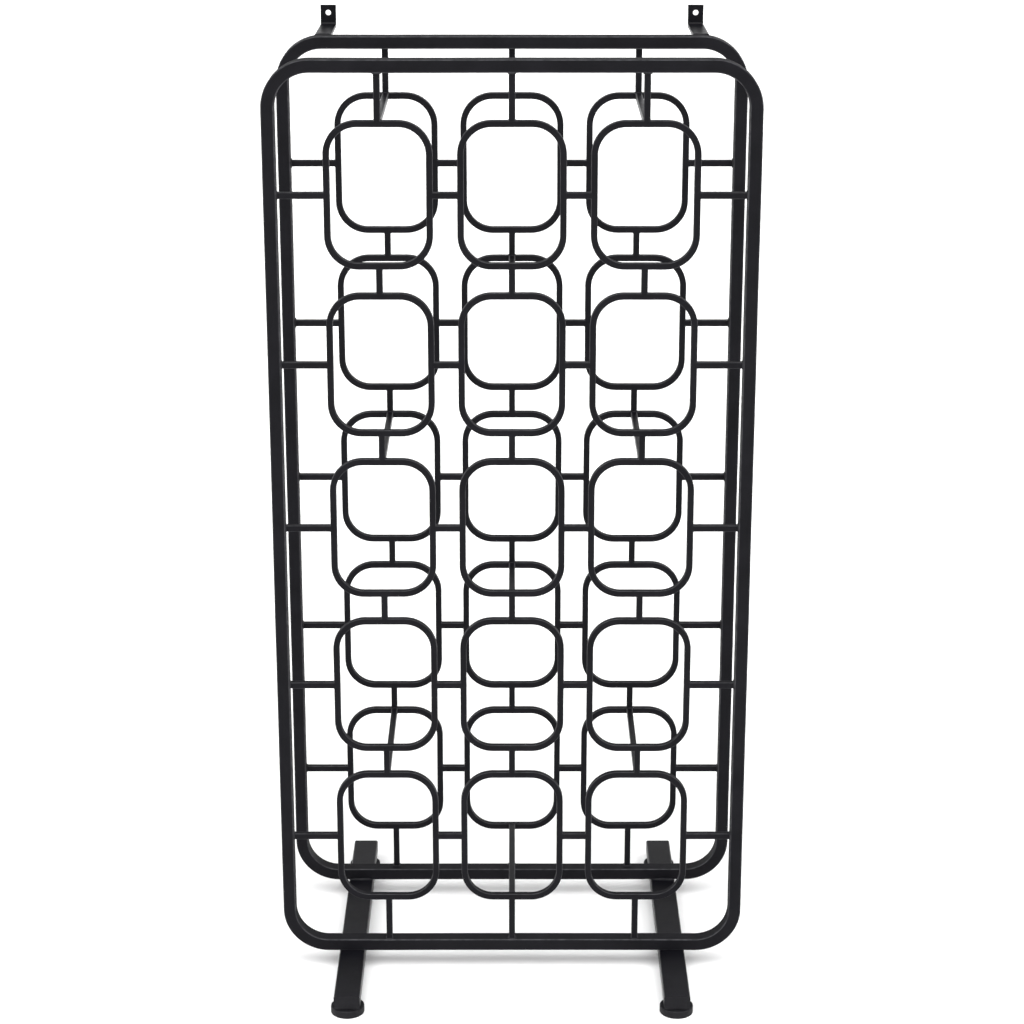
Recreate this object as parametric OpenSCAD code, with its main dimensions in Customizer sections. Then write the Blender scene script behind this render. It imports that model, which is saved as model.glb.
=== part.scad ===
// A tall welded wine rack for fifteen bottles, made of steel bar.
// Two upright rounded frames, one behind the other, each hold a grid of rounded loops.
// A bottle lies front to back through a front loop and the back loop behind it.
// The rack stands on two leg tubes with screw-in feet, and two brackets screw it to a wall.
// Millimetres. +Z is up and the front faces -Y. The origin is on the floor, at the middle
// of the rack's width and depth.

/* [Frames] */
// Width of a frame, across the rack
frame_w = 450; // [440:1:520]
// Height of a frame
frame_h = 877; // [820:1:920]
// Thickness of the frame bar, seen from the front
frame_bar = 12; // [8:0.5:14]
// Depth of the frame bar, front to back
frame_depth = 15; // [10:0.5:25]
// Outer radius of a frame's corners
frame_corner_r = 44; // [20:1:60]
// Distance from the front frame's front face to the back frame's front face
frame_spacing = 160; // [120:1:240]

/* [Loops, links and ties] */
// Side of the square bar of the loops, links and ties
grid_bar = 6; // [4:0.5:8]
// Outer width of a loop
loop_w = 99; // [90:1:110]
// Outer height of a loop
loop_h = 136; // [110:1:142]
// Outer radius of a loop's corners
loop_corner_r = 31; // [15:1:40]
// Distance between the centres of neighbouring columns
column_pitch = 121; // [115:1:128]
// Distance from a frame's outer edge to the centres of its end rows
end_row_margin = 122.5; // [105:0.5:130]
// Distance of each grid from the outer face of its frame
grid_inset = 1.5; // [0:0.5:4]

/* [Legs] */
// Width of a leg tube
leg_w = 25; // [20:1:40]
// Height of a leg tube
leg_h = 14; // [12:0.5:25]
// Wall thickness of a leg tube
leg_wall = 1.5; // [1:0.1:2]
// Outer radius of a leg tube's corners
leg_corner_r = 2; // [1.8:0.1:3]
// Distance from the rack's middle to a leg's middle
leg_offset = 158; // [100:1:165]
// How far the legs reach in front of the front frame
leg_reach_front = 95; // [60:1:150]
// How far the legs reach behind the back frame
leg_reach_rear = 82; // [50:1:120]

/* [Feet] */
// Diameter of a foot's pad
pad_d = 32; // [26:1:45]
// Height of the leg's underside above the floor, with the feet screwed in
foot_h = 8; // [6:0.5:12]
// Distance from a leg's front end to the middle of its front foot
front_foot_inset = 12; // [10:1:40]
// Distance from a leg's rear end to the middle of its rear foot
rear_foot_inset = 23; // [10:1:40]
// Diameter of a foot's stud
stud_d = 8; // [6:1:10]
// Gap between a screwed-in foot and the leg's underside
foot_gap = 0.3; // [0.2:0.1:0.6]

/* [Wall brackets] */
// Width of the flat strip that a bracket is bent from
bracket_w = 15; // [12:1:25]
// Thickness of the strip
bracket_t = 3; // [2:0.5:4]
// Distance from the rack's middle to a bracket's middle
bracket_offset = 180; // [60:1:180]
// Height of a bracket's tab above the top of the frames
tab_h = 18.5; // [15:0.5:30]
// Inner radius of the bend between arm and tab
bend_r = 2; // [1:0.5:4]
// Diameter of the screw hole in the tab
screw_hole_d = 5.5; // [4:0.5:7]
// Height of the screw hole's middle above the top of the frames
screw_hole_up = 11; // [8:0.5:12]

/* [Hidden] */
$fn = 96;
eps = 1; // how far a cutting shape runs past what it cuts
rows = 5;
columns = 3;

// Heights of the main levels
frame_z = foot_h + leg_h;
frame_top_z = frame_z + frame_h;

// The depth of the whole rack, from the front feet to the wall
foot_overhang = max(0, pad_d / 2 - front_foot_inset);
leg_l = leg_reach_front + frame_spacing + frame_depth + leg_reach_rear;
rack_depth = foot_overhang + leg_l;

// Places along Y
leg_front_y = -rack_depth / 2 + foot_overhang;
front_frame_y = leg_front_y + leg_reach_front;
back_frame_y = front_frame_y + frame_spacing;
back_frame_rear_y = back_frame_y + frame_depth;
wall_y = leg_front_y + leg_l;
front_grid_y = front_frame_y + grid_inset;
back_grid_y = back_frame_rear_y - grid_inset - grid_bar;
front_foot_y = leg_front_y + front_foot_inset;
rear_foot_y = wall_y - rear_foot_inset;

// The grid of loops
row_pitch = (frame_h - 2 * end_row_margin) / (rows - 1);
middle_column = (columns + 1) / 2;
inner_half_w = frame_w / 2 - frame_bar;
inner_bottom_z = frame_z + frame_bar;
inner_top_z = frame_top_z - frame_bar;

// The leg's inside, its end plugs and the bushes that the feet screw into
leg_inner_r = 1;
plug_head_t = 2;
plug_l = 12;
plug_clearance = 0.15;
plug_notch_clearance = 0.5;
bush_wall = 1.5;
bush_d = stud_d + 2 * bush_wall;
bush_top_gap = 2.5;
bush_l = leg_h - leg_wall - bush_top_gap;
stud_clearance = 0.05;

// The foot: its stud starts inside the pad and ends just under the tube's top wall
boss_h = 0.4;
boss_wall = 4;
boss_d = stud_d + 2 * boss_wall;
pad_t = foot_h - foot_gap - boss_h;
pad_edge = 0.8;
stud_bottom_z = 2.5;
stud_top_gap = 1;
stud_chamfer = 0.8;

black_steel = [0.09, 0.09, 0.1];
black_plastic = [0.14, 0.14, 0.15];
zinc = [0.7, 0.71, 0.72];

// The rows with a pair of ties, in the outer columns, and those with one, in the middle
paired_tie_rows = [1, 3, 5];
single_tie_rows = [2, 4];

function loop_name(grid, row, column) = str(grid, "_loop_r", row, "c", column);
function tie_name(row, side) = str("tie_r", row, "_", side);
function foot_name(end, side, piece) = str(end, "_", side, "_foot_", piece);
function side_sign(side) = side == "left" ? -1 : 1;
function grid_y(grid) = grid == "front" ? front_grid_y : back_grid_y;
function foot_y(end) = end == "front" ? front_foot_y : rear_foot_y;

// Middle of a row or column. Row 1 is at the top and column 1 on the left.
function row_z(row) = frame_top_z - end_row_margin - (row - 1) * row_pitch;
function column_x(column) = (column - middle_column) * column_pitch;

// A flat rectangle with round corners, about the origin
module rounded_rectangle(w, h, r) {
    square([w - 2 * r, h], center = true);
    square([w, h - 2 * r], center = true);
    for (x = [-1, 1], y = [-1, 1])
        translate([x * (w / 2 - r), y * (h / 2 - r)])
            circle(r = r);
}

// An upright plate with round corners, from y = 0 back to y = t, about x = 0 and z = 0
module rounded_plate(w, h, r, t) {
    translate([0, t, 0])
        rotate([90, 0, 0])
            linear_extrude(t)
                rounded_rectangle(w, h, r);
}

// A closed rounded ring of bar, upright, about x = 0 and z = 0
module rounded_ring(w, h, r, bar, depth) {
    difference() {
        rounded_plate(w, h, r, depth);
        translate([0, -eps, 0])
            rounded_plate(w - 2 * bar, h - 2 * bar, r - bar, depth + 2 * eps);
    }
}

// One upright frame with its front face at y
module frame(y) {
    color(black_steel)
        translate([0, y, frame_z + frame_h / 2])
            rounded_ring(frame_w, frame_h, frame_corner_r, frame_bar, frame_depth);
}

// One bottle loop
module loop(grid, row, column) {
    color(black_steel)
        translate([column_x(column), grid_y(grid), row_z(row)])
            rounded_ring(loop_w, loop_h, loop_corner_r, grid_bar, grid_bar);
}

// A short level link from x = from to x = to
module row_link(from, to, row, y) {
    translate([from, y, row_z(row) - grid_bar / 2])
        cube([to - from, grid_bar, grid_bar]);
}

// A short upright link from z = from to z = to
module column_link(from, to, column, y) {
    translate([column_x(column) - grid_bar / 2, y, from])
        cube([grid_bar, grid_bar, to - from]);
}

// The links across one grid: from the frame to a loop, between loops, and back to the frame
module row_links(grid) {
    y = grid_y(grid);
    color(black_steel)
        for (row = [1:rows]) {
            row_link(-inner_half_w, column_x(1) - loop_w / 2, row, y);
            for (column = [1:columns - 1])
                row_link(column_x(column) + loop_w / 2, column_x(column + 1) - loop_w / 2, row, y);
            row_link(column_x(columns) + loop_w / 2, inner_half_w, row, y);
        }
}

// The links up and down one grid, from rail to rail
module column_links(grid) {
    y = grid_y(grid);
    color(black_steel)
        for (column = [1:columns]) {
            column_link(row_z(1) + loop_h / 2, inner_top_z, column, y);
            for (row = [1:rows - 1])
                column_link(row_z(row + 1) + loop_h / 2, row_z(row) - loop_h / 2, column, y);
            column_link(inner_bottom_z, row_z(rows) - loop_h / 2, column, y);
        }
}

// A tie from the front grid to the back grid, with its middle at x, z
module tie(x, z) {
    color(black_steel)
        translate([x - grid_bar / 2, front_grid_y + grid_bar, z - grid_bar / 2])
            cube([grid_bar, back_grid_y - front_grid_y - grid_bar, grid_bar]);
}

// A tie at the top bar of the loops in a row
module top_bar_tie(column, row) {
    tie(column_x(column), row_z(row) + loop_h / 2 - grid_bar / 2);
}

// The tie at the bottom bar of the middle loops in the lowest row
module bottom_bar_tie() {
    tie(column_x(middle_column), row_z(rows) - loop_h / 2 + grid_bar / 2);
}

// The hollow of a leg tube, or a plug that fills it, along y from 0 to l, about x = 0
module leg_core(l, clearance) {
    translate([0, l, leg_h / 2])
        rotate([90, 0, 0])
            linear_extrude(l)
                rounded_rectangle(
                    leg_w - 2 * leg_wall - 2 * clearance,
                    leg_h - 2 * leg_wall - 2 * clearance,
                    leg_inner_r
                );
}

// One leg tube, with a hole in its underside for each foot's bush.
// The heads of the end plugs take up the last of its length at both ends.
module leg(side) {
    tube_l = leg_l - 2 * plug_head_t;
    color(black_steel)
        translate([side_sign(side) * leg_offset, leg_front_y + plug_head_t, foot_h])
            difference() {
                translate([0, tube_l, leg_h / 2])
                    rotate([90, 0, 0])
                        linear_extrude(tube_l)
                            rounded_rectangle(leg_w, leg_h, leg_corner_r);
                translate([0, -eps, 0])
                    leg_core(tube_l + 2 * eps, 0);
                for (inset = [front_foot_inset, leg_l - rear_foot_inset])
                    translate([0, inset - plug_head_t, -eps])
                        cylinder(d = bush_d, h = leg_wall + 2 * eps);
            }
}

// A plug for a tube's front end: a head the size of the tube and a tongue inside it.
// The tongue is notched where the foot's bush and stud stand.
module end_plug(foot_inset) {
    notch_w = bush_d + 2 * plug_notch_clearance;
    translate([0, plug_head_t, leg_h / 2])
        rotate([90, 0, 0])
            linear_extrude(plug_head_t)
                rounded_rectangle(leg_w, leg_h, leg_corner_r);
    difference() {
        translate([0, plug_head_t, 0])
            leg_core(plug_l, plug_clearance);
        translate([0, foot_inset, -eps])
            cylinder(d = notch_w, h = leg_h + 2 * eps);
        translate([-notch_w / 2, foot_inset, -eps])
            cube([notch_w, plug_l + plug_head_t, leg_h + 2 * eps]);
    }
}

// The four plugs that close the ends of the leg tubes
module leg_end_plugs() {
    color(black_plastic)
        for (side = [-1, 1]) {
            translate([side * leg_offset, leg_front_y, foot_h])
                end_plug(front_foot_inset);
            translate([side * leg_offset, wall_y, foot_h])
                rotate([0, 0, 180])
                    end_plug(rear_foot_inset);
        }
}

// The four threaded bushes, set into the undersides of the legs
module foot_bushes() {
    color(zinc)
        for (side = [-1, 1], y = [front_foot_y, rear_foot_y])
            translate([side * leg_offset, y, foot_h])
                difference() {
                    cylinder(d = bush_d, h = bush_l);
                    translate([0, 0, -eps])
                        cylinder(r = stud_d / 2 + stud_clearance, h = bush_l + 2 * eps);
                }
}

// A foot's round pad, with a low boss round the stud
module foot_pad(end, side) {
    edge_r = pad_d / 2;
    color(black_plastic)
        translate([side_sign(side) * leg_offset, foot_y(end), 0])
            rotate_extrude()
                polygon([
                    [0, 0],
                    [edge_r - pad_edge / 2, 0],
                    [edge_r, pad_edge / 2],
                    [edge_r, pad_t - pad_edge],
                    [edge_r - pad_edge, pad_t],
                    [boss_d / 2, pad_t],
                    [boss_d / 2, foot_h - foot_gap],
                    [stud_d / 2, foot_h - foot_gap],
                    [stud_d / 2, stud_bottom_z],
                    [0, stud_bottom_z]
                ]);
}

// A foot's stud: it starts inside the pad and runs up through the leg's bush
module foot_stud(end, side) {
    stud_l = foot_h + leg_h - leg_wall - stud_top_gap - stud_bottom_z;
    color(zinc)
        translate([side_sign(side) * leg_offset, foot_y(end), stud_bottom_z]) {
            cylinder(d = stud_d, h = stud_l - stud_chamfer);
            translate([0, 0, stud_l - stud_chamfer])
                cylinder(d1 = stud_d, d2 = stud_d - 2 * stud_chamfer, h = stud_chamfer);
        }
}

// A wall bracket: an arm from the back frame's top rail to the wall, then a tab bent up.
// Its profile is drawn looking along X, with y across and z up.
module wall_bracket(side) {
    outer_r = bend_r + bracket_t;
    arm_l = wall_y - outer_r - back_frame_rear_y;
    color(black_steel)
        translate([side_sign(side) * bracket_offset - bracket_w / 2, 0, frame_top_z - bracket_t])
            difference() {
                union() {
                    translate([0, back_frame_rear_y, 0])
                        cube([bracket_w, arm_l, bracket_t]);
                    translate([0, wall_y - outer_r, outer_r])
                        rotate([90, 0, 90])
                            quarter_bend(bend_r, bracket_t, bracket_w);
                    translate([0, wall_y - bracket_t, outer_r])
                        cube([bracket_w, bracket_t, bracket_t + tab_h - outer_r]);
                }
                translate([bracket_w / 2, wall_y + eps, bracket_t + screw_hole_up])
                    rotate([90, 0, 0])
                        cylinder(d = screw_hole_d, h = bracket_t + 2 * eps);
            }
}

// A quarter of a ring about Z, in the quadrant where x > 0 and y < 0: t thick outside radius r,
// and w long
module quarter_bend(r, t, w) {
    difference() {
        cylinder(r = r + t, h = w);
        translate([0, 0, -eps])
            cylinder(r = r, h = w + 2 * eps);
        translate([-r - t - eps, -r - t - eps, -eps])
            cube([r + t + eps, 2 * (r + t + eps), w + 2 * eps]);
        translate([-r - t - eps, 0, -eps])
            cube([2 * (r + t + eps), r + t + eps, w + 2 * eps]);
    }
}

frame(front_frame_y);  // front_frame
frame(back_frame_y);  // back_frame
for (grid = ["front", "back"], row = [1:rows], column = [1:columns])
    loop(grid, row, column);
row_links("front");  // front_row_links
row_links("back");  // back_row_links
column_links("front");  // front_column_links
column_links("back");  // back_column_links
for (row = paired_tie_rows) {
    top_bar_tie(1, row);
    top_bar_tie(columns, row);
}
for (row = single_tie_rows)
    top_bar_tie(middle_column, row);
bottom_bar_tie();  // tie_bottom_middle
leg("left");  // left_leg
leg("right");  // right_leg
leg_end_plugs();
foot_bushes();
for (end = ["front", "rear"], side = ["left", "right"]) {
    foot_pad(end, side);
    foot_stud(end, side);
}
wall_bracket("left");  // left_wall_bracket
wall_bracket("right");  // right_wall_bracket
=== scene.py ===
"""The looks of the wine rack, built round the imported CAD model.

Every bar is swept again along its CAD node's own box, with the rounded edges of real bar. Every
joint gets its weld bead, and the feet are turned and threaded. Lengths are in metres, in the CAD
model's own frame: +Z is up and the front faces -Y.
"""

import math

import bpy
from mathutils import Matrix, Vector, noise


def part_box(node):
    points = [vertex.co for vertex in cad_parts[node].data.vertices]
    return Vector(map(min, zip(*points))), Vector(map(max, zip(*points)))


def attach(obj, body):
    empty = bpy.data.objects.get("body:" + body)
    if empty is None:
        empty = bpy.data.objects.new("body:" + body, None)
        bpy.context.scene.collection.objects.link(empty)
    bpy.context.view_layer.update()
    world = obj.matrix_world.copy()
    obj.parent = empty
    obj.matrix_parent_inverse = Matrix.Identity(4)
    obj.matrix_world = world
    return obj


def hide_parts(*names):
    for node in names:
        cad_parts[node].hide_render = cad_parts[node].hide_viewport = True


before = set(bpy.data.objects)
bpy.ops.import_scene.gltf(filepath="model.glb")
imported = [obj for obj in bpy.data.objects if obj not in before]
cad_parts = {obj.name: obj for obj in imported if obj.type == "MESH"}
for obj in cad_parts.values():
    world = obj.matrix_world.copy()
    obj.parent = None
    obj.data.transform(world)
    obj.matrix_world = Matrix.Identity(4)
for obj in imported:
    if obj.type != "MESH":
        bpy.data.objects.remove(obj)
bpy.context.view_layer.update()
noise.seed_set(7)  # so that every run has the same uneven bends and beads

MM = 0.001
TURN = 2 * math.pi
RACK = "rack"
GRIDS = ("front", "back")
SIDES = ("left", "right")
ROWS = range(1, 6)
COLUMNS = range(1, 4)
FEET = [f"{end}_{side}_foot" for end in ("front", "rear") for side in SIDES]
TIES = [node for node in sorted(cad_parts) if node.startswith("tie_")]

# ---------------------------------------------------------------- sizes of the bars and welds

FRAME_BAR = 12 * MM  # thickness of the frame bar, seen from the front
FRAME_CORNER_R = 44 * MM  # outer radius of a frame's corners
FRAME_EDGE_R = 1.2 * MM  # rounding along the frame bar's edges
LOOP_CORNER_R = 31 * MM  # outer radius of a loop's corners
GRID_BAR = 6 * MM  # side of the square bar of loops, links and ties
GRID_EDGE_R = 0.6 * MM  # rounding along the square bar's edges
BEND_UNEVENNESS = 0.25 * MM  # how far hand-bent bar strays from its true line
BEND_WAVES = 9  # waves of that stray in a metre
BEND_TWIST = 0.3  # part of that stray that goes towards the front or back
LINK_REACH = 0.8 * MM  # how far a link's end runs into the bar that it is welded to
RAIL_BEAD = 1.2 * MM  # size of the beads that join links to the thick frame bar
GRID_BEAD = 0.7 * MM  # size of the small, ground-down beads between bars of one thickness
BEAD_SHY = 0.45 * MM  # how far a bead stays behind two faces that are flush
BEAD_VARIETY = 0.5  # how much wider or narrower a grid's beads are, as a part of their size
BEAD_VARIETY_WAVES = 31  # waves of that variety in a metre
BEAD_ROUGHNESS = 0.2 * MM  # unevenness of a bead's skin
BEAD_ROUGHNESS_WAVES = 420  # waves of that unevenness in a metre
# the beads take part of the edges' lighter colour, which is part wear and part painted highlight
BEAD_WEAR_AND_HIGHLIGHT = 0.35  # edge weight all over a bead
RIPPLE_PITCH = 1.9 * MM  # from one ripple of a long bead to the next
BRACKET_THICKNESS = 3 * MM  # of the strip that the wall brackets are bent from

# ---------------------------------------------------------------- camera

CAMERA_AHEAD = 2321 * MM  # from the front frame's front face
CAMERA_UP = 1216.5 * MM  # above the floor
CAMERA_TILT = math.radians(17.66)  # below level
CAMERA_LENS_MM = 91.4

# ---------------------------------------------------------------- studio light, as radiance

CEILING_LIGHT = 0.6
KEY_LIGHT = 6.1
WALL_LIGHT = 0.34
FRONT_LIGHT = 0.28
HORIZON_LIGHT = 0.75
HORIZON_BEHIND = 1.15


# ---------------------------------------------------------------- making meshes


class Shape:
    """The points, faces and edge weights of one piece. The weight is 1 along a bar's edges."""

    def __init__(self):
        self.points, self.faces, self.weights = [], [], []

    def add(self, points, faces, weights=None):
        start = len(self.points)
        self.points += [tuple(p) for p in points]
        self.faces += [tuple(start + i for i in face) for face in faces]
        self.weights += weights or [0.0] * len(points)

    def piece(self, name, sharp_angle=40):
        """Makes the smooth-shaded object, whose flat faces stay flat."""
        mesh = bpy.data.meshes.new(name)
        mesh.from_pydata(self.points, [], self.faces)
        mesh.attributes.new("edge", "FLOAT", "POINT").data.foreach_set("value", self.weights)
        mesh.shade_smooth()
        mesh.set_sharp_from_angle(angle=math.radians(sharp_angle))
        piece = bpy.data.objects.new(name, mesh)
        bpy.context.scene.collection.objects.link(piece)
        piece.modifiers.new("flat faces stay flat", "WEIGHTED_NORMAL").keep_sharp = True
        return piece


def dress(piece, body, material, nodes=()):
    """Gives a new piece its material and body, and lets it stand for CAD nodes."""
    piece.data.materials.append(material)
    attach(piece, body)
    if nodes:
        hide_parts(*nodes)


def wobble(place, waves_per_m, amount):
    """A smooth offset that depends only on the place, for bends and welds made by hand."""
    return noise.noise_vector(place * waves_per_m) * amount


def bar_outline(across, depth, radius, steps=4):
    """A bar's outline as (across, depth, edge) points; edge is 1 halfway round a rounded edge."""
    outline = []
    for quadrant in range(4):
        middle_a = (across / 2 - radius) * (1 if quadrant in (0, 3) else -1)
        middle_d = (depth / 2 - radius) * (1 if quadrant in (0, 1) else -1)
        for step in range(steps + 1):
            angle = (quadrant + step / steps) * TURN / 4
            a = middle_a + radius * math.cos(angle)
            d = middle_d + radius * math.sin(angle)
            outline.append((a, d, math.sin(math.pi * step / steps)))
    return outline


def add_sweep(shape, stations, outline, closed):
    """Sweeps an outline along stations, which are (place, across direction, depth direction)."""
    points = [place + u * a + v * d for place, u, v in stations for a, d, _ in outline]
    weights = [edge for _ in stations for _, _, edge in outline]
    size, count = len(outline), len(stations)
    faces = []
    for i in range(count if closed else count - 1):
        here, there = i * size, (i + 1) % count * size
        for j in range(size):
            k = (j + 1) % size
            faces.append((here + j, there + j, there + k, here + k))
    if not closed:
        faces.append(tuple(range(size)))
        faces.append(tuple(count * size - 1 - j for j in range(size)))
    shape.add(points, faces, weights)


def ring_stations(low, high, bar, corner_r, corner_steps, straight_step):
    """Stations along the middle of a bar that is bent into an upright rounded rectangle."""
    middle = (low + high) / 2
    half_w = (high.x - low.x - bar) / 2
    half_h = (high.z - low.z - bar) / 2
    bend_r = corner_r - bar / 2
    arcs = []
    for quadrant in range(4):
        right = 1 if quadrant in (0, 3) else -1
        up = 1 if quadrant in (0, 1) else -1
        centre = middle + Vector((right * (half_w - bend_r), 0, up * (half_h - bend_r)))
        outs = []
        for step in range(corner_steps + 1):
            angle = (quadrant + step / corner_steps) * TURN / 4
            outs.append(Vector((math.cos(angle), 0, math.sin(angle))))
        arcs.append([(centre + out * bend_r, out) for out in outs])
    path = []
    for arc, next_arc in zip(arcs, arcs[1:] + arcs[:1]):
        path += arc
        start, out = arc[-1]
        end = next_arc[0][0]
        parts = max(1, round((end - start).length / straight_step))
        path += [(start.lerp(end, i / parts), out) for i in range(1, parts)]
    stations = []
    for place, out in path:
        stray = wobble(place, BEND_WAVES, BEND_UNEVENNESS)
        stray.y *= BEND_TWIST
        stations.append((place + stray, out, Vector((0, 1, 0))))
    return stations


def add_straight_bar(shape, low, high, edge_r, reach):
    """A straight bar that fills a box, rounded along its longest side, reach longer at each end."""
    size = high - low
    axis = max(range(3), key=lambda i: size[i])
    u, v = [Vector([float(i == other) for i in range(3)]) for other in range(3) if other != axis]
    along = Vector([float(i == axis) for i in range(3)])
    if u.cross(v).dot(along) > 0:
        u, v = v, u
    middle = (low + high) / 2
    half = size[axis] / 2 + reach
    outline = bar_outline(abs(size.dot(u)), abs(size.dot(v)), edge_r)
    ends = [(middle - along * half, u, v), (middle + along * half, u, v)]
    add_sweep(shape, ends, outline, closed=False)


def stack_faces(rings, around):
    """The faces of a closed stack of rings that each have the same number of points."""
    faces = []
    for i in range(rings - 1):
        lower, upper = i * around, (i + 1) * around
        for j in range(around):
            k = (j + 1) % around
            faces.append((lower + j, lower + k, upper + k, upper + j))
    faces.append(tuple(range(around - 1, -1, -1)))
    faces.append(tuple((rings - 1) * around + j for j in range(around)))
    return faces


def add_bead(shape, centre, half, ripple=0.0):
    """A weld bead: a box-like lump with half sizes half, uneven all over.

    ripple is the depth of the waves that a long bead has along x.
    """
    rings, around, squareness = 9, 18, 0.55
    points = []
    for i in range(rings):
        tilt = math.pi * i / (rings - 1) - math.pi / 2
        for j in range(around):
            turn = TURN * j / around
            raw = Vector(
                (math.cos(tilt) * math.cos(turn), math.cos(tilt) * math.sin(turn), math.sin(tilt))
            )
            place = Vector([math.copysign(abs(c) ** squareness, c) * h for c, h in zip(raw, half)])
            wave = ripple * math.sin(TURN * (centre.x + place.x) / RIPPLE_PITCH)
            place += raw * wave + wobble(centre + place, BEAD_ROUGHNESS_WAVES, BEAD_ROUGHNESS)
            points.append(centre + place)
    shape.add(points, stack_faces(rings, around), [BEAD_WEAR_AND_HIGHLIGHT] * len(points))


def add_lathe(shape, centre, profile, around=96):
    """Turns (radius, height, edge) points about an upright axis.

    The first and last points lie on the axis, level with their neighbours.
    """
    points, weights = [], []
    for radius, height, edge in profile[1:-1]:
        for j in range(around):
            angle = TURN * j / around
            out = Vector((radius * math.cos(angle), radius * math.sin(angle), height))
            points.append(centre + out)
            weights.append(edge)
    shape.add(points, stack_faces(len(profile) - 2, around), weights)


def islands(node):
    """The (low, high) boxes of the separate solids in one CAD node, from the top down."""
    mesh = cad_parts[node].data
    keys = [tuple(round(c, 6) for c in vertex.co) for vertex in mesh.vertices]
    leader = {key: key for key in keys}

    def root(key):
        while leader[key] != key:
            key = leader[key]
        return key

    for polygon in mesh.polygons:
        first = root(keys[polygon.vertices[0]])
        for index in polygon.vertices[1:]:
            leader[root(keys[index])] = first
    boxes = {}
    for key in sorted(leader):
        low, high = boxes.setdefault(root(key), (Vector(key), Vector(key)))
        for axis in range(3):
            low[axis] = min(low[axis], key[axis])
            high[axis] = max(high[axis], key[axis])
    return sorted(boxes.values(), key=lambda box: (round(-box[0].z, 4), round(box[0].x, 4)))


# ---------------------------------------------------------------- materials


class Material:
    """A procedural material with short helpers for the nodes that every material here uses."""

    def __init__(self, name):
        self.material = bpy.data.materials.new(name)
        self.material.use_nodes = True
        self.tree = self.material.node_tree
        self.shader = self.tree.nodes["Principled BSDF"]
        self.place = self.tree.nodes.new("ShaderNodeTexCoord").outputs["Object"]

    def link(self, output, socket):
        self.tree.links.new(output, socket)

    def noise(self, waves_per_m, detail=3.0):
        """Noise over the place in space, with that many waves in a metre."""
        node = self.tree.nodes.new("ShaderNodeTexNoise")
        node.inputs["Scale"].default_value = waves_per_m
        node.inputs["Detail"].default_value = detail
        self.link(self.place, node.inputs["Vector"])
        return node.outputs["Fac"]

    def spread(self, value, from_low, from_high, to_low, to_high):
        """Stretches one range of a value to another and clamps it."""
        node = self.tree.nodes.new("ShaderNodeMapRange")
        settings = {"From Min": from_low, "From Max": from_high, "To Min": to_low, "To Max": to_high}
        for name, number in settings.items():
            node.inputs[name].default_value = number
        self.link(value, node.inputs["Value"])
        return node.outputs["Result"]

    def clouds(self, waves_per_m):
        """Soft patches, from 0 to 1."""
        return self.spread(self.noise(waves_per_m), 0.35, 0.65, 0, 1)

    def multiply(self, first, second):
        node = self.tree.nodes.new("ShaderNodeMath")
        node.operation = "MULTIPLY"
        self.link(first, node.inputs[0])
        self.link(second, node.inputs[1])
        return node.outputs["Value"]

    def mix(self, amount, first, second):
        """Mixes two colours; each is an output or an (r, g, b)."""
        node = self.tree.nodes.new("ShaderNodeMix")
        node.data_type = "RGBA"
        self.link(amount, node.inputs["Factor"])
        for colour, socket in ((first, node.inputs["A"]), (second, node.inputs["B"])):
            if isinstance(colour, tuple):
                socket.default_value = (*colour, 1)
            else:
                self.link(colour, socket)
        return node.outputs["Result"]

    def edge(self):
        """1 along the pieces' rounded edges, where wear and, on the powder coat, a painted highlight
        are laid; 0 on their flat faces.
        """
        node = self.tree.nodes.new("ShaderNodeAttribute")
        node.attribute_name = "edge"
        return node.outputs["Fac"]

    def bump(self, height, depth, strength):
        node = self.tree.nodes.new("ShaderNodeBump")
        node.inputs["Distance"].default_value = depth
        node.inputs["Strength"].default_value = strength
        self.link(height, node.inputs["Height"])
        self.link(node.outputs["Normal"], self.shader.inputs["Normal"])


def powder_coat(name, smoothest, roughest):
    """Satin black powder coat: a fine pebbled skin. Its edges are painted lighter, partly for the
    thinner, worn coat there and partly as a painted highlight along them.
    """
    coat = Material(name)
    darker, lighter = (0.0028, 0.0027, 0.0040), (0.0049, 0.0047, 0.0066)
    # the lighter edge colour is part wear and part painted highlight, raised to draw a bright line
    # along the bars' edges
    worn_edge_and_highlight = (0.062, 0.062, 0.067)
    body = coat.mix(coat.clouds(28), darker, lighter)
    edge_wear_and_highlight = coat.multiply(coat.edge(), coat.spread(coat.noise(160), 0.35, 0.65, 0.4, 0.9))
    coat.link(coat.mix(edge_wear_and_highlight, body, worn_edge_and_highlight), coat.shader.inputs["Base Color"])
    coat.shader.inputs["Specular IOR Level"].default_value = 0.122
    patches = coat.spread(coat.noise(70, detail=5), 0.3, 0.7, smoothest, roughest)
    coat.link(patches, coat.shader.inputs["Roughness"])
    coat.bump(coat.noise(900, detail=2), 0.035 * MM, 0.6)
    return coat.material


def moulded_plastic():
    """Matte black moulded plastic with a fine spark-eroded grain."""
    plastic = Material("moulded plastic")
    darker, lighter = (0.0045, 0.0044, 0.0058), (0.0070, 0.0068, 0.0086)
    rubbed_grey = (0.022, 0.022, 0.025)
    body = plastic.mix(plastic.clouds(60), darker, lighter)
    rubbed = plastic.multiply(plastic.edge(), plastic.spread(plastic.noise(300), 0.4, 0.7, 0.2, 0.9))
    plastic.link(plastic.mix(rubbed, body, rubbed_grey), plastic.shader.inputs["Base Color"])
    plastic.shader.inputs["Specular IOR Level"].default_value = 0.16
    patches = plastic.spread(plastic.noise(500), 0.3, 0.7, 0.5, 0.64)
    plastic.link(patches, plastic.shader.inputs["Roughness"])
    plastic.bump(plastic.noise(2600, detail=2), 0.05 * MM, 0.7)
    return plastic.material


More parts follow.
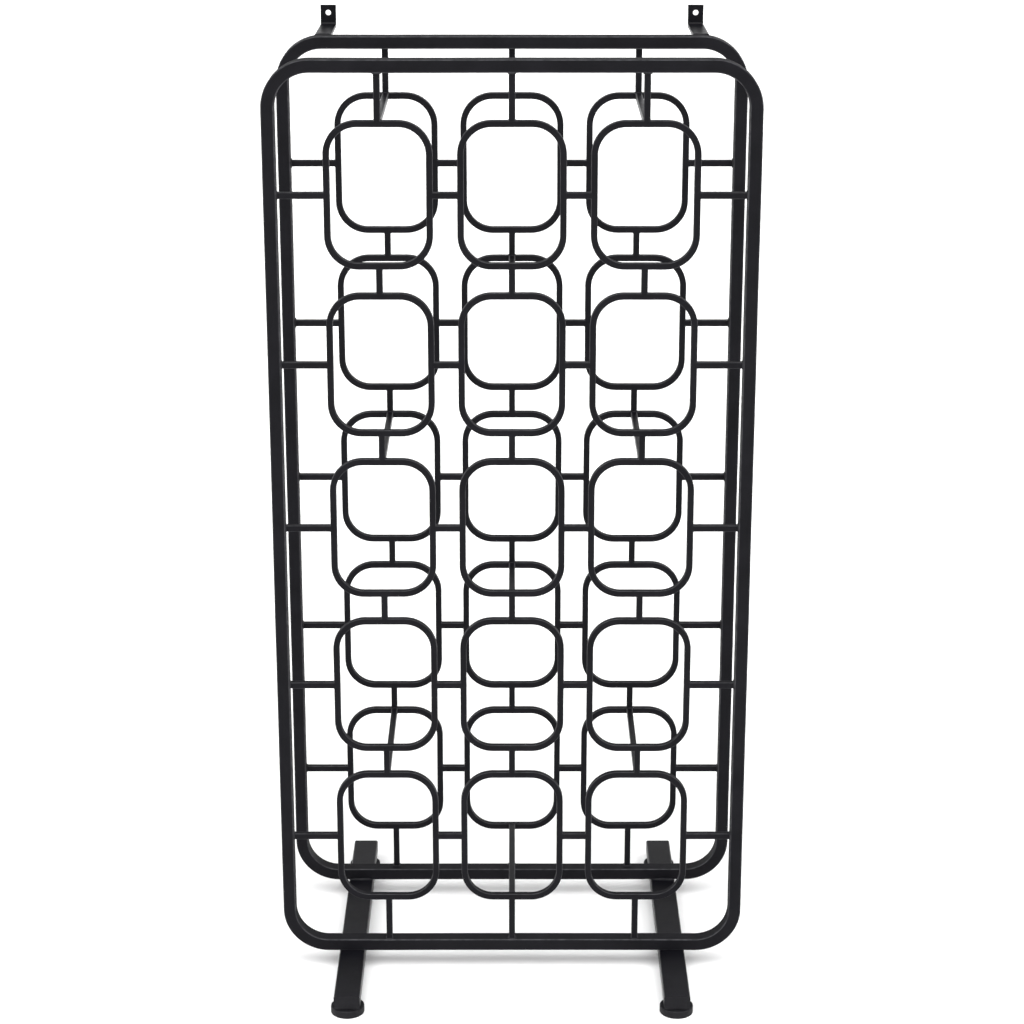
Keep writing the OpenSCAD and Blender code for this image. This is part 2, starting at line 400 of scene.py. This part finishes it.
def zinc_plate():
    """Bright zinc plate on turned steel, a little cloudy."""
    zinc = Material("zinc plate")
    bluish, yellowish = (0.50, 0.51, 0.53), (0.68, 0.68, 0.67)
    zinc.link(zinc.mix(zinc.clouds(220), bluish, yellowish), zinc.shader.inputs["Base Color"])
    zinc.shader.inputs["Metallic"].default_value = 1.0
    patches = zinc.spread(zinc.noise(900), 0.3, 0.7, 0.22, 0.42)
    zinc.link(patches, zinc.shader.inputs["Roughness"])
    zinc.bump(zinc.noise(1800), 0.02 * MM, 0.5)
    return zinc.material


def floor_paint():
    """A plain white floor."""
    paint = Material("floor paint")
    paint.shader.inputs["Base Color"].default_value = (0.92, 0.92, 0.92, 1)
    paint.shader.inputs["Roughness"].default_value = 0.9
    paint.shader.inputs["Specular IOR Level"].default_value = 0.1
    return paint.material


COAT = powder_coat("powder coat", 0.60, 0.70)
SMOOTH_COAT = powder_coat("smoother powder coat", 0.33, 0.41)  # on ties, brackets and legs
PLASTIC = moulded_plastic()
ZINC = zinc_plate()


# ---------------------------------------------------------------- the welded rack


def make_frames():
    """The two upright frames of bent bar."""
    for grid in GRIDS:
        low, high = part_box(f"{grid}_frame")
        shape = Shape()
        stations = ring_stations(
            low, high, FRAME_BAR, FRAME_CORNER_R, corner_steps=20, straight_step=60 * MM
        )
        outline = bar_outline(FRAME_BAR, high.y - low.y, FRAME_EDGE_R)
        add_sweep(shape, stations, outline, closed=True)
        dress(shape.piece(f"{grid}_frame_bar"), RACK, COAT, [f"{grid}_frame"])


def make_loops():
    """The thirty bottle loops, each its own piece."""
    for grid in GRIDS:
        for row in ROWS:
            for column in COLUMNS:
                node = f"{grid}_loop_r{row}c{column}"
                low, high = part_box(node)
                shape = Shape()
                stations = ring_stations(
                    low, high, GRID_BAR, LOOP_CORNER_R, corner_steps=16, straight_step=20 * MM
                )
                outline = bar_outline(GRID_BAR, high.y - low.y, GRID_EDGE_R)
                add_sweep(shape, stations, outline, closed=True)
                dress(shape.piece(f"{node}_bar"), RACK, COAT, [node])


def make_links():
    """The short links across and up each grid."""
    for grid in GRIDS:
        for kind in ("row", "column"):
            node = f"{grid}_{kind}_links"
            shape = Shape()
            for low, high in islands(node):
                add_straight_bar(shape, low, high, GRID_EDGE_R, LINK_REACH)
            dress(shape.piece(f"{node}_bars"), RACK, COAT, [node])


def make_ties():
    """The nine ties between the grids."""
    for node in TIES:
        shape = Shape()
        add_straight_bar(shape, *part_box(node), GRID_EDGE_R, LINK_REACH)
        dress(shape.piece(f"{node}_bar"), RACK, SMOOTH_COAT, [node])


def make_grid_welds():
    """A bead at both ends of every link, fuller where the link meets the frame's thicker bar."""
    for grid in GRIDS:
        frame_low, frame_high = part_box(f"{grid}_frame")
        shape = Shape()
        for kind, axis, other in (("row", 0, 2), ("column", 2, 0)):
            for low, high in islands(f"{grid}_{kind}_links"):
                for end in (low, high):
                    centre = (low + high) / 2
                    centre[axis] = end[axis]
                    inner = (frame_low[axis] + FRAME_BAR, frame_high[axis] - FRAME_BAR)
                    on_frame = min(abs(end[axis] - side) for side in inner) < MM
                    bead = RAIL_BEAD if on_frame else GRID_BEAD
                    half = Vector((GRID_BAR / 2 + bead,) * 3)
                    half[axis] = bead
                    half[other] += BEAD_VARIETY * bead * noise.noise(centre * BEAD_VARIETY_WAVES)
                    if not on_frame:
                        half.y = GRID_BAR / 2 - BEAD_SHY
                    add_bead(shape, centre, half)
        dress(shape.piece(f"{grid}_grid_welds"), RACK, COAT)


def make_tie_welds():
    """A bead at both ends of every tie."""
    shape = Shape()
    half = Vector((GRID_BAR / 2 + GRID_BEAD, RAIL_BEAD, GRID_BAR / 2 + GRID_BEAD))
    for node in TIES:
        low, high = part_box(node)
        for y in (low.y, high.y):
            centre = (low + high) / 2
            centre.y = y
            add_bead(shape, centre, half)
    dress(shape.piece("tie_welds"), RACK, COAT)


def make_leg_welds():
    """A rippled bead where each leg passes under the inner face of each frame."""
    short_of_edge, reach_out, reach_up = 1.2 * MM, 2.0 * MM, 1.7 * MM
    shape = Shape()
    for side in SIDES:
        leg_low, leg_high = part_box(f"{side}_leg")
        for y in (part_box("front_frame")[1].y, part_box("back_frame")[0].y):
            centre = Vector(((leg_low.x + leg_high.x) / 2, y, leg_high.z))
            half = Vector(((leg_high.x - leg_low.x) / 2 - short_of_edge, reach_out, reach_up))
            add_bead(shape, centre, half, ripple=0.22 * MM)
    dress(shape.piece("leg_welds"), RACK, COAT)


def make_bracket_welds():
    """A bead across the front end of each wall bracket's arm."""
    past_edge, reach_out, past_face = 0.7 * MM, 1.7 * MM, 0.9 * MM
    shape = Shape()
    for side in SIDES:
        low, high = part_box(f"{side}_wall_bracket")
        centre = Vector(((low.x + high.x) / 2, low.y, low.z + BRACKET_THICKNESS / 2))
        half_height = BRACKET_THICKNESS / 2 + past_face
        half = Vector(((high.x - low.x) / 2 + past_edge, reach_out, half_height))
        add_bead(shape, centre, half, ripple=0.18 * MM)
    dress(shape.piece("bracket_welds"), RACK, COAT)


def finish_cad_node(node, material, edge_r):
    """Keeps a CAD node whose shape is right, rounds its cut edges and gives it its finish."""
    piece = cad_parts[node]
    piece.data.materials.clear()
    piece.data.materials.append(material)
    rounding = piece.modifiers.new("rounded edges", "BEVEL")
    rounding.width = edge_r
    rounding.segments = 3
    rounding.limit_method = "ANGLE"
    rounding.angle_limit = math.radians(50)
    rounding.harden_normals = True


# ---------------------------------------------------------------- the feet


def make_foot_pad(foot):
    """A turned pad: a soft upper rim, a low boss round the stud, and a hollow underneath."""
    low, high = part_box(f"{foot}_pad")
    centre = Vector(((low.x + high.x) / 2, (low.y + high.y) / 2, low.z))
    r, top = (high.x - low.x) / 2, high.z - low.z
    rim, shoulder, boss_r, hollow = 0.9 * MM, 0.4 * MM, 8 * MM, 0.6 * MM
    flange_top = top - 0.4 * MM
    chamfer = 0.15 * MM  # of the boss
    seat_r, seat_depth = 4.0 * MM, 0.3 * MM  # where the stud stands in the boss
    profile = [
        (0, hollow, 0),
        (r * 0.55, hollow, 0),
        (r * 0.58, 0.1 * MM, 0.3),
        (r * 0.60, 0, 0.3),
        (r - rim, 0, 0),
        (r - 0.3 * rim, 0.12 * MM, 0.8),
        (r - 0.05 * MM, 0.5 * MM, 0.6),
        (r, 1.2 * MM, 0),
        (r, flange_top - rim, 0),
        (r - 0.13 * rim, flange_top - 0.5 * rim, 0.7),
        (r - 0.5 * rim, flange_top - 0.13 * rim, 1),
        (r - rim, flange_top, 0.5),
        (boss_r + shoulder, flange_top, 0),
        (boss_r + 0.1 * shoulder, flange_top + 0.1 * shoulder, 0),
        (boss_r, top - chamfer, 0.5),
        (boss_r - chamfer, top, 0.5),
        (seat_r + 0.1 * MM, top, 0),
        (seat_r, top - seat_depth, 0),
        (0, top - seat_depth, 0),
    ]
    shape = Shape()
    add_lathe(shape, centre, profile)
    dress(shape.piece(f"{foot}_pad_turned"), foot, PLASTIC, [f"{foot}_pad"])


def make_foot_stud(foot):
    """A stud with a real thread, flat at its top and running down into the pad."""
    low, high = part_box(f"{foot}_stud")
    centre_x, centre_y = (low.x + high.x) / 2, (low.y + high.y) / 2
    outer_r, pitch, depth = (high.x - low.x) / 2, 1.25 * MM, 0.72 * MM
    flank_slope = 2.5  # of the thread's flanks, in depths for each pitch
    lead_in, lead_in_slope = 1.0 * MM, 0.75
    around, rings_per_turn = 32, 12
    steps = int((high.z - low.z) / pitch * rings_per_turn) + 1
    points = []
    for i in range(steps + 1):
        z = low.z + (high.z - low.z) * i / steps
        lead_in_r = outer_r - lead_in_slope * max(0.0, z - (high.z - lead_in))
        for j in range(around):
            turn = j / around
            phase = (z / pitch - turn) % 1
            crest = min(1.0, max(0.0, flank_slope / 2 - flank_slope * abs(phase - 0.5)))
            r = min(outer_r - depth * (1 - crest), lead_in_r)
            angle = TURN * turn
            points.append((centre_x + r * math.cos(angle), centre_y + r * math.sin(angle), z))
    shape = Shape()
    shape.add(points, stack_faces(steps + 1, around))
    dress(shape.piece(f"{foot}_stud_threaded"), foot, ZINC, [f"{foot}_stud"])


# ---------------------------------------------------------------- floor, light and camera


def make_floor():
    """A plain pale floor, wide enough to fill the view."""
    half = 30.0
    corners = [(-half, -half, 0), (half, -half, 0), (half, half, 0), (-half, half, 0)]
    mesh = bpy.data.meshes.new("floor")
    mesh.from_pydata(corners, [], [(0, 1, 2, 3)])
    floor = bpy.data.objects.new("floor", mesh)
    floor.data.materials.append(floor_paint())
    bpy.context.scene.collection.objects.link(floor)


def make_studio():
    """A white studio: a soft ceiling, a softbox high in front, and a horizon as white as the floor."""
    world = bpy.data.worlds.new("white studio")
    world.use_nodes = True
    bpy.context.scene.world = world
    nodes, links = world.node_tree.nodes, world.node_tree.links
    direction = nodes.new("ShaderNodeSeparateXYZ")
    links.new(nodes.new("ShaderNodeTexCoord").outputs["Generated"], direction.inputs[0])

    def ramp(axis, low, high, at_low, at_high):
        """Goes from one value to another as the direction's x, y or z goes from low to high."""
        node = nodes.new("ShaderNodeMapRange")
        node.interpolation_type = "SMOOTHSTEP"
        settings = {"From Min": low, "From Max": high, "To Min": at_low, "To Max": at_high}
        for name, number in settings.items():
            node.inputs[name].default_value = number
        links.new(direction.outputs[axis], node.inputs["Value"])
        return node.outputs["Result"]

    def combine(operation, first, second):
        node = nodes.new("ShaderNodeMath")
        node.operation = operation
        links.new(first, node.inputs[0])
        links.new(second, node.inputs[1])
        return node.outputs["Value"]

    ceiling = ramp("Z", 0.45, 0.75, 0.0, CEILING_LIGHT)
    walls = ramp("Y", -0.9, 0.3, FRONT_LIGHT, WALL_LIGHT)
    key = combine("MULTIPLY", ramp("Y", -0.5, -0.1, KEY_LIGHT, 0.0), ramp("Z", 0.5, 0.7, 0.0, 1.0))
    round_about = ramp("Y", 0.2, 0.9, HORIZON_LIGHT, HORIZON_BEHIND)
    horizon = combine("MULTIPLY", round_about, ramp("Z", 0.14, 0.4, 1.0, 0.0))
    total = combine("ADD", combine("ADD", ceiling, key), combine("ADD", walls, horizon))
    links.new(total, nodes["Background"].inputs["Strength"])
    nodes["Background"].inputs["Color"].default_value = (1, 1, 1, 1)


def make_camera():
    """Looks down at the rack from in front, from the height of a standing person's chest."""
    data = bpy.data.cameras.new("camera")
    data.lens = CAMERA_LENS_MM
    data.sensor_width = 36.0
    data.clip_end = 100.0
    camera = bpy.data.objects.new("camera", data)
    camera.location = (0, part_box("front_frame")[0].y - CAMERA_AHEAD, CAMERA_UP)
    camera.rotation_euler = (TURN / 4 - CAMERA_TILT, 0, 0)
    bpy.context.scene.collection.objects.link(camera)
    bpy.context.scene.camera = camera


bpy.context.scene.view_settings.view_transform = "Standard"
make_camera()
make_studio()
make_floor()
make_frames()
make_loops()
make_links()
make_ties()
make_grid_welds()
make_tie_welds()
make_leg_welds()
make_bracket_welds()
for side in SIDES:
    finish_cad_node(f"{side}_leg", SMOOTH_COAT, 0.3 * MM)
    finish_cad_node(f"{side}_wall_bracket", SMOOTH_COAT, 0.5 * MM)
finish_cad_node("leg_end_plugs", PLASTIC, 0.5 * MM)
finish_cad_node("foot_bushes", ZINC, 0.3 * MM)
for foot in FEET:
    make_foot_pad(foot)
    make_foot_stud(foot)
